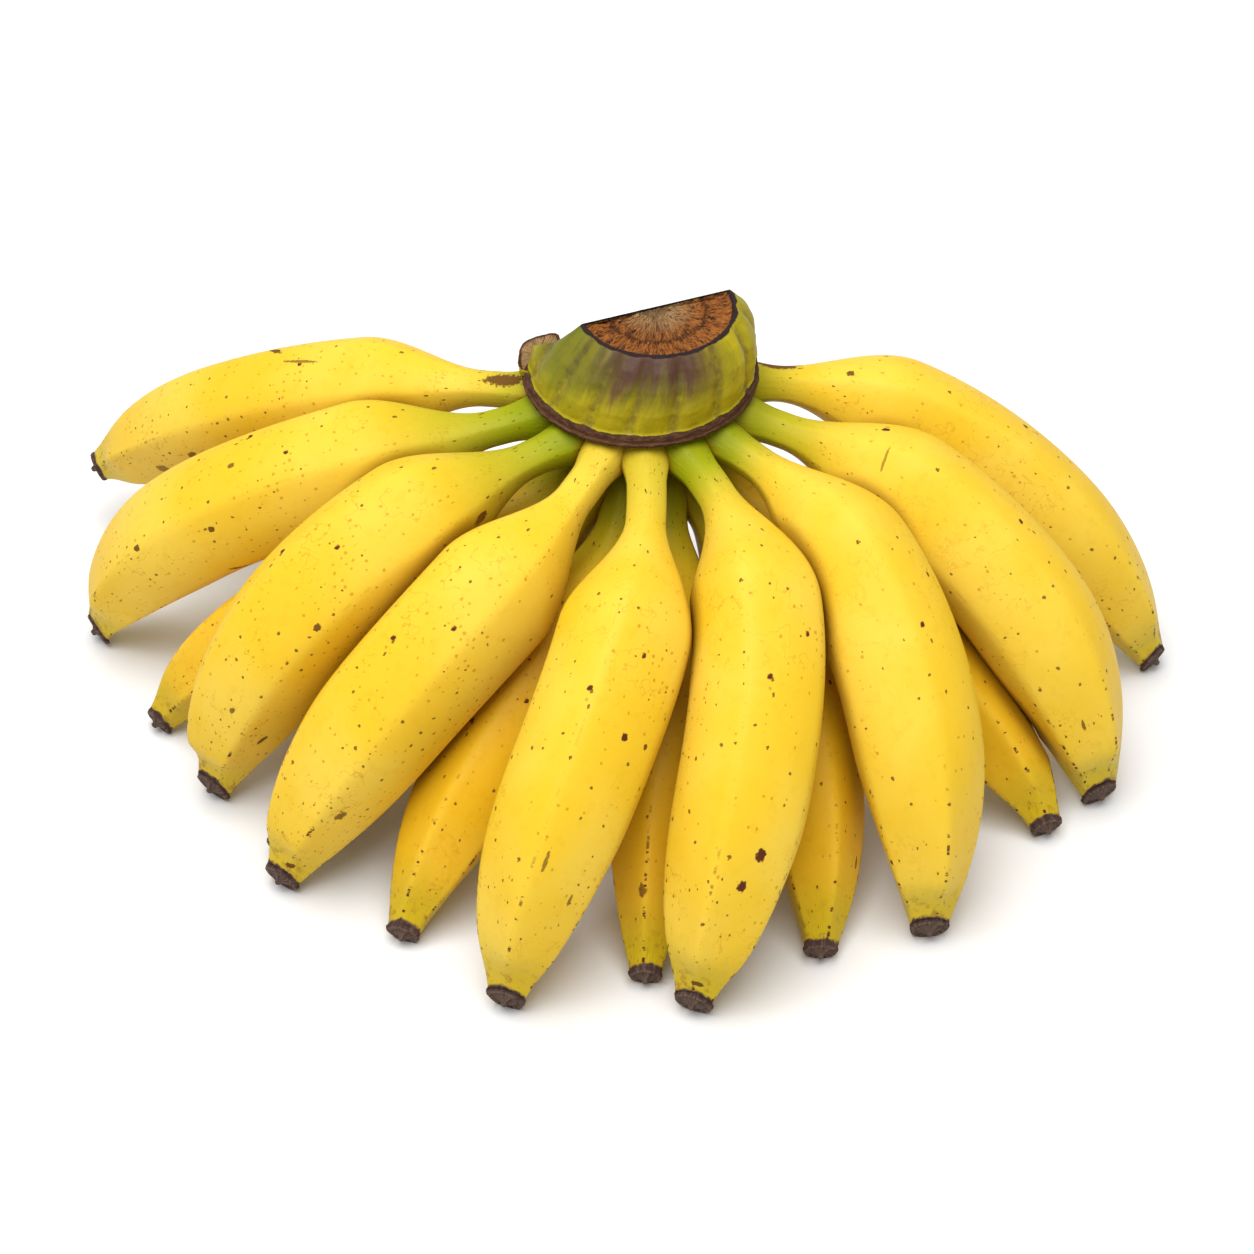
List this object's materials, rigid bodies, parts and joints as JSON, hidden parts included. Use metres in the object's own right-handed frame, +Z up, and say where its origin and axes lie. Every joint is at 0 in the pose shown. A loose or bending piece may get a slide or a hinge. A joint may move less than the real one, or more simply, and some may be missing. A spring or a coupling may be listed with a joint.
{
  "type": "bunch of bananas",
  "caption": "Whole hand of small ripe yellow bananas in two rows on one green grooved crown, lying on its dark blossom ends.",
  "frame": {"origin": "on the surface that the hand lies on, under the middle of its box", "axes": "+Z up, +X across the hand from the first finger to the last, -Y towards the side that the fingers spread to"},
  "size_m": [0.262, 0.1675, 0.098],
  "materials": {
    "ripe_peel": "satin",
    "crown_skin": "matte"
  },
  "bodies": {
    "root": {"crown": "crown_skin", "banana_upper_1": "ripe_peel", "banana_upper_2": "ripe_peel", "banana_upper_3": "ripe_peel", "banana_upper_4": "ripe_peel", "banana_upper_5": "ripe_peel", "banana_upper_6": "ripe_peel", "banana_upper_7": "ripe_peel", "banana_upper_8": "ripe_peel", "banana_upper_9": "ripe_peel", "banana_lower_1": "ripe_peel", "banana_lower_2": "ripe_peel", "banana_lower_3": "ripe_peel", "banana_lower_4": "ripe_peel", "banana_lower_5": "ripe_peel", "banana_lower_6": "ripe_peel"}
  },
  "joints": []
}
